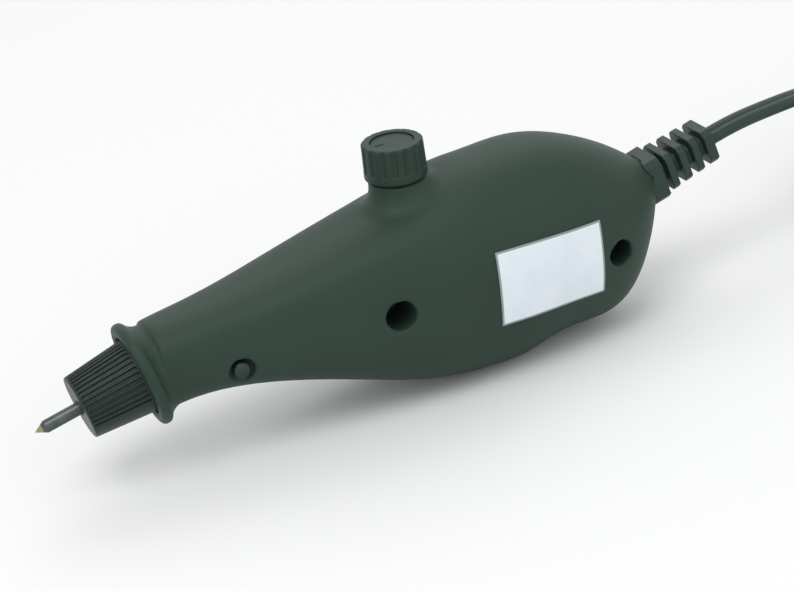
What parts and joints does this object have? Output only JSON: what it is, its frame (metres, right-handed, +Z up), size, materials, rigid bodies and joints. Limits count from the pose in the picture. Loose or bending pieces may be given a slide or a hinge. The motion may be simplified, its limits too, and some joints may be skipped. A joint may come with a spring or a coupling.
{
  "type": "electric engraver",
  "caption": "Hand-held electric vibrating engraver: teardrop moulded housing, carbide stylus in a ribbed nose cone, stroke knob on top, two-core mains cord.",
  "frame": {"origin": "middle of the flat under the belly, on the plane where the two housing halves meet", "axes": "+X towards the tail and cord, -X towards the tip, +Z up through the stroke knob, -Y out of the side with the screw heads and rating plate"},
  "size_m": [0.394, 0.0421, 0.0601],
  "materials": {
    "housing_abs": "satin",
    "knob_abs": "satin",
    "screw_steel": "satin",
    "blued_steel": "satin",
    "tool_steel": "satin",
    "carbide": "satin",
    "brass": "satin",
    "bronze": "satin",
    "spring_steel": "satin",
    "electrical_steel": "matte",
    "enamelled_copper": "gloss",
    "nylon": "satin",
    "tape_yellow": "gloss",
    "rubber": "matte",
    "zinc_steel": "satin",
    "label_film": "satin",
    "cord_pvc": "satin",
    "wire_white": "satin",
    "plated_brass": "gloss"
  },
  "bodies": {
    "root": {"housing_left": "housing_abs", "housing_right": "housing_abs", "housing_screws": "screw_steel", "nose_sleeve": "nylon", "nose_bush": "bronze", "guide_bush": "bronze", "leaf_spring": "spring_steel", "core_laminations": "electrical_steel", "core_rivets": "zinc_steel", "coil_bobbin": "nylon", "coil_winding": "enamelled_copper", "coil_tape": "tape_yellow", "core_bracket": "zinc_steel", "bracket_screws": "zinc_steel", "damper_pad": "rubber", "adjuster_bush": "brass", "cone_o_ring": "rubber", "strain_relief": "cord_pvc", "cord_clamp": "nylon", "clamp_screws": "zinc_steel", "lead_wires": "wire_white", "crimp_connectors": "plated_brass", "inner_cord": "cord_pvc", "rating_label": "label_film", "cord_lead": "cord_pvc", "cord_hank": "cord_pvc", "cord_tie": "rubber", "cord_tail": "cord_pvc", "plug_body": "cord_pvc", "plug_blades": "plated_brass"},
    "hammer": {"plunger_rod": "tool_steel", "chuck": "brass", "chuck_set_screw": "blued_steel", "spring_collars": "zinc_steel", "armature": "electrical_steel", "armature_nut": "zinc_steel"},
    "stylus": {"stylus_shank": "tool_steel", "stylus_tip": "carbide"},
    "knob": {"knob": "knob_abs", "knob_cap": "knob_abs", "adjuster_cam": "zinc_steel", "retaining_clip": "spring_steel"},
    "nose_cone": {"nose_cone": "housing_abs"}
  },
  "joints": [
    {"name": "stroke", "type": "slide", "parent": "root", "child": "hammer", "axis": [0.9826, 0, 0.1857], "range_m": [-0.0006, 0.0006], "stiffness_N_per_m": 2500, "deforming": ["leaf_spring"]},
    {"name": "stylus_pull", "type": "slide", "parent": "hammer", "child": "stylus", "axis": [-0.9826, 0, -0.1857], "range_m": [0, 0.014]},
    {"name": "knob_turn", "type": "hinge", "parent": "root", "child": "knob", "pos_m": [-0.019, 0, 0.0509], "axis": [0.0262, 0, 0.9997], "range_deg": [0, 270]},
    {"name": "cone_off", "type": "slide", "parent": "root", "child": "nose_cone", "axis": [-0.9826, 0, -0.1857], "range_m": [0, 0.007]}
  ]
}
